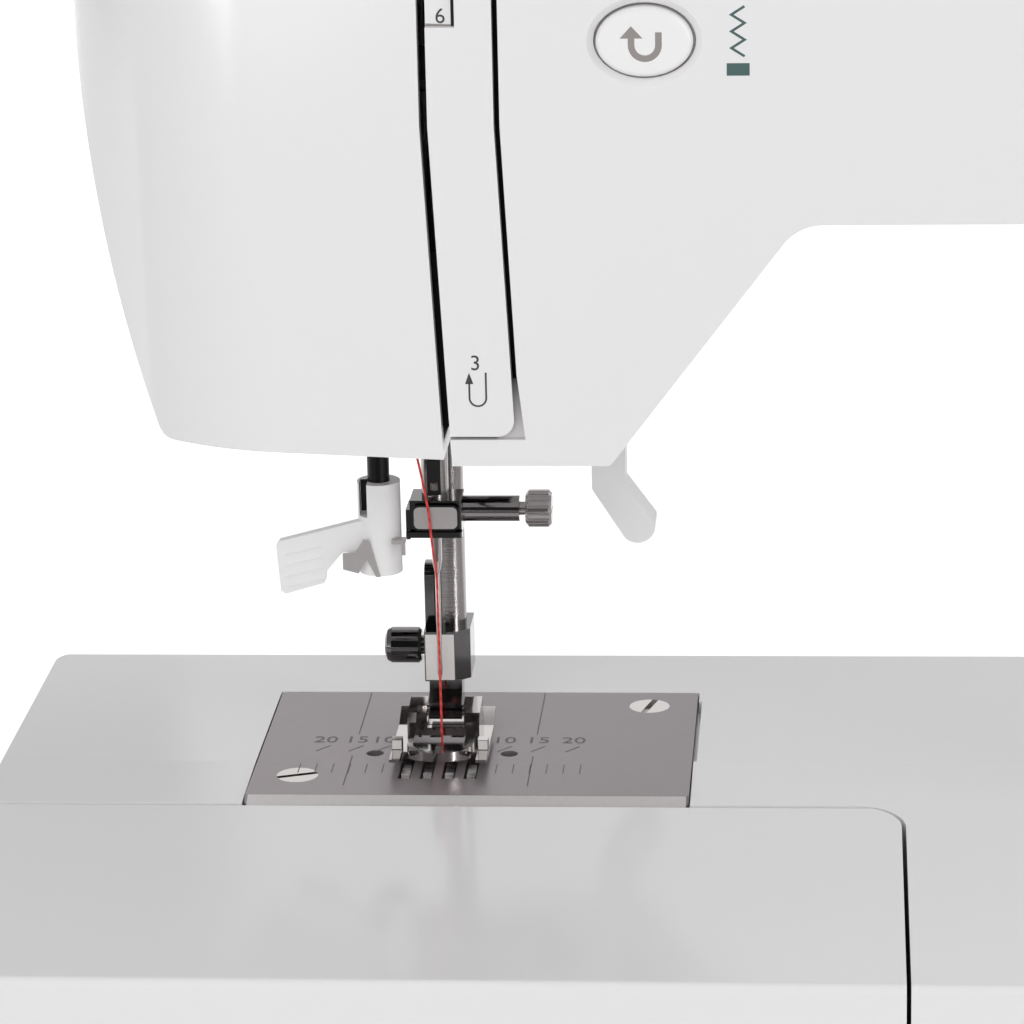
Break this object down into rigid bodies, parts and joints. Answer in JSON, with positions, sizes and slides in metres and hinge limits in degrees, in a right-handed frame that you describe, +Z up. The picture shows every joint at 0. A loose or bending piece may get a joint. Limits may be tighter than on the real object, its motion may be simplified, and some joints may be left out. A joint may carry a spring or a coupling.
{
  "type": "sewing machine",
  "caption": "Domestic free arm sewing machine with a white shell, presser foot, needle threader, rotary hook drive, dials, carrying handle and a slide-off extension table",
  "frame": {"origin": "centre of the footprint, on the table surface under the rubber feet", "axes": "+X from the needle end to the handwheel end, +Y from the user's side to the back, +Z up"},
  "size_m": [0.4, 0.16, 0.2975],
  "materials": {
    "white_shell": "gloss white",
    "white_matt": "matt white",
    "grey_plastic": "matt grey",
    "black_plastic": "matt black",
    "steel": "brushed",
    "bright": "polished",
    "cast": "as cast",
    "dark_metal": "satin black",
    "rubber": "matt",
    "brass": "sintered",
    "clear": "clear plastic",
    "lamp_lens": "frosted",
    "thread_red": "spun thread"
  },
  "bodies": {
    "machine": {"base_plate": "white_matt", "rubber_feet": "rubber", "frame": "cast", "bed_cover": "white_shell", "hook_door": "white_shell", "needle_plate": "steel", "plate_screws": "bright", "face_cover": "white_shell", "front_cover": "white_shell", "rear_cover": "white_shell", "top_cover": "white_shell", "thread_strip": "white_shell", "head_liner": "black_plastic", "lamp": "lamp_lens", "cover_screws": "steel", "shaft_bushings": "brass", "motor": "dark_metal", "motor_belt": "rubber", "timing_belt": "rubber", "hook_race": "bright", "bobbin_case": "bright", "power_inlet": "black_plastic", "presser_spring": "steel"},
    "main_drive": {"handwheel": "white_matt", "main_shaft": "steel", "main_pulleys": "black_plastic", "needle_crank": "cast"},
    "link": {"needle_link": "steel"},
    "motor_rotor": {"motor_pulley": "steel"},
    "lower_drive": {"lower_shaft": "steel", "lower_wheels": "dark_metal"},
    "hook": {"rotary_hook": "bright"},
    "bobbin": {"bobbin": "clear"},
    "bar_frame": {"needle_bar_frame": "cast"},
    "needle_unit": {"needle_bar": "bright", "needle_clamp": "grey_plastic", "needle": "bright", "needle_thread": "thread_red"},
    "clamp_screw": {"clamp_screw": "steel"},
    "take_up": {"take_up_lever": "bright"},
    "lifter": {"presser_lifter": "white_matt"},
    "presser_unit": {"presser_bar": "bright", "foot_holder": "bright"},
    "foot": {"presser_foot": "bright"},
    "holder_screw": {"holder_screw": "bright"},
    "threader_unit": {"threader_rod": "dark_metal"},
    "threader": {"threader_lever": "white_matt", "threader_hook": "bright"},
    "feed_carrier": {"feed_bar": "cast"},
    "feed": {"feed_dog": "steel"},
    "reverse_button": {"reverse_button": "white_matt"},
    "stitch_dial": {"stitch_dial": "white_matt"},
    "length_dial": {"length_dial": "white_matt"},
    "tension_dial": {"tension_dial": "white_matt"},
    "winder": {"winder_spindle": "white_matt"},
    "spool_pin": {"spool_pin": "white_matt"},
    "handle": {"carry_handle": "white_shell"},
    "switch": {"power_switch": "black_plastic"},
    "table": {"extension_table": "white_shell"},
    "lid": {"accessory_lid": "white_shell"}
  },
  "joints": [
    {"name": "main_turn", "type": "hinge", "parent": "machine", "child": "main_drive", "pos_m": [0, 0.024, 0.246], "axis": [1, 0, 0], "continuous": true},
    {"name": "link_turn", "type": "hinge", "parent": "main_drive", "child": "link", "pos_m": [-0.1035, 0.024, 0.26], "axis": [1, 0, 0], "continuous": true},
    {"name": "motor_turn", "type": "hinge", "parent": "machine", "child": "motor_rotor", "pos_m": [0.1, 0.042, 0.12], "axis": [1, 0, 0], "continuous": true},
    {"name": "lower_turn", "type": "hinge", "parent": "machine", "child": "lower_drive", "pos_m": [0, 0.054, 0.056], "axis": [1, 0, 0], "continuous": true},
    {"name": "hook_turn", "type": "hinge", "parent": "machine", "child": "hook", "pos_m": [-0.115, 0.03, 0.056], "axis": [0, 1, 0], "continuous": true},
    {"name": "bobbin_spin", "type": "hinge", "parent": "machine", "child": "bobbin", "pos_m": [-0.115, 0.016, 0.056], "axis": [0, 1, 0], "continuous": true},
    {"name": "needle_swing", "type": "hinge", "parent": "machine", "child": "bar_frame", "pos_m": [-0.1225, 0.028, 0.25], "axis": [0, 1, 0], "range_deg": [-1.2, 1.2]},
    {"name": "needle_stroke", "type": "slide", "parent": "bar_frame", "child": "needle_unit", "axis": [0, 0, 1], "range_m": [-0.028, 0]},
    {"name": "clamp_screw_turn", "type": "hinge", "parent": "needle_unit", "child": "clamp_screw", "pos_m": [-0.101, 0.024, 0.1321], "axis": [1, 0, 0], "continuous": true},
    {"name": "take_up_swing", "type": "hinge", "parent": "machine", "child": "take_up", "pos_m": [-0.1107, 0.052, 0.236], "axis": [1, 0, 0], "range_deg": [0, 28]},
    {"name": "lifter_swing", "type": "hinge", "parent": "machine", "child": "lifter", "pos_m": [-0.089, 0.048, 0.1625], "axis": [0, -1, 0], "range_deg": [0, 50.1]},
    {"name": "presser_lift", "type": "slide", "parent": "machine", "child": "presser_unit", "axis": [0, 0, 1], "range_m": [0, 0.0055], "deforming": ["presser_spring"]},
    {"name": "foot_tilt", "type": "hinge", "parent": "presser_unit", "child": "foot", "pos_m": [-0.1144, 0.029, 0.0894], "axis": [1, 0, 0], "range_deg": [-3, 1.8]},
    {"name": "holder_screw_turn", "type": "hinge", "parent": "presser_unit", "child": "holder_screw", "pos_m": [-0.123, 0.037, 0.1002], "axis": [1, 0, 0], "continuous": true},
    {"name": "threader_drop", "type": "slide", "parent": "bar_frame", "child": "threader_unit", "axis": [0, 0, 1], "range_m": [-0.022, 0]},
    {"name": "threader_turn", "type": "hinge", "parent": "threader_unit", "child": "threader", "pos_m": [-0.1254, 0.02, 0.13], "axis": [0, 0, -1], "range_deg": [0, 45]},
    {"name": "feed_lift", "type": "slide", "parent": "machine", "child": "feed_carrier", "axis": [0, 0, 1], "range_m": [-0.0028, 0.0008]},
    {"name": "feed_travel", "type": "slide", "parent": "feed_carrier", "child": "feed", "axis": [0, 1, 0], "range_m": [-0.002, 0.002]},
    {"name": "reverse_press", "type": "slide", "parent": "machine", "child": "reverse_button", "axis": [0, 1, 0], "range_m": [0, 0.0025], "stiffness_N_per_m": 600},
    {"name": "stitch_dial_turn", "type": "hinge", "parent": "machine", "child": "stitch_dial", "pos_m": [0.111, -0.03, 0.176], "axis": [0, 1, 0], "continuous": true},
    {"name": "length_dial_turn", "type": "hinge", "parent": "machine", "child": "length_dial", "pos_m": [0.111, -0.03, 0.24], "axis": [0, 1, 0], "range_deg": [-135, 135]},
    {"name": "tension_turn", "type": "hinge", "parent": "machine", "child": "tension_dial", "pos_m": [-0.073, 0.002, 0.273], "axis": [1, 0, 0], "range_deg": [-150, 150]},
    {"name": "winder_spin", "type": "hinge", "parent": "machine", "child": "winder", "pos_m": [0.154, 0.014, 0.285], "axis": [0, 0, 1], "continuous": true},
    {"name": "spool_pull", "type": "slide", "parent": "machine", "child": "spool_pin", "axis": [0, 0, 1], "range_m": [0, 0.03]},
    {"name": "handle_lift", "type": "hinge", "parent": "machine", "child": "handle", "pos_m": [0.023, 0.032, 0.2915], "axis": [1, 0, 0], "range_deg": [0, 95]},
    {"name": "power_rock", "type": "hinge", "parent": "machine", "child": "switch", "pos_m": [0.168, 0.01, 0.11], "axis": [0, 1, 0], "range_deg": [-9, 0]},
    {"name": "table_slide", "type": "slide", "parent": "machine", "child": "table", "axis": [-1, 0, 0], "range_m": [0, 0.18]},
    {"name": "lid_open", "type": "hinge", "parent": "table", "child": "lid", "pos_m": [-0.113, -0.0784, 0.0225], "axis": [1, 0, 0], "range_deg": [0, 85]}
  ],
  "couplings": [
    {"joint": "link_turn", "follows": "main_turn", "ratio": -1},
    {"joint": "motor_turn", "follows": "main_turn", "ratio": 3.875},
    {"joint": "lower_turn", "follows": "main_turn", "ratio": 1},
    {"joint": "hook_turn", "follows": "main_turn", "ratio": 2},
    {"joint": "lifter_swing", "follows": "presser_lift", "rad_per_m": 158.67}
  ]
}
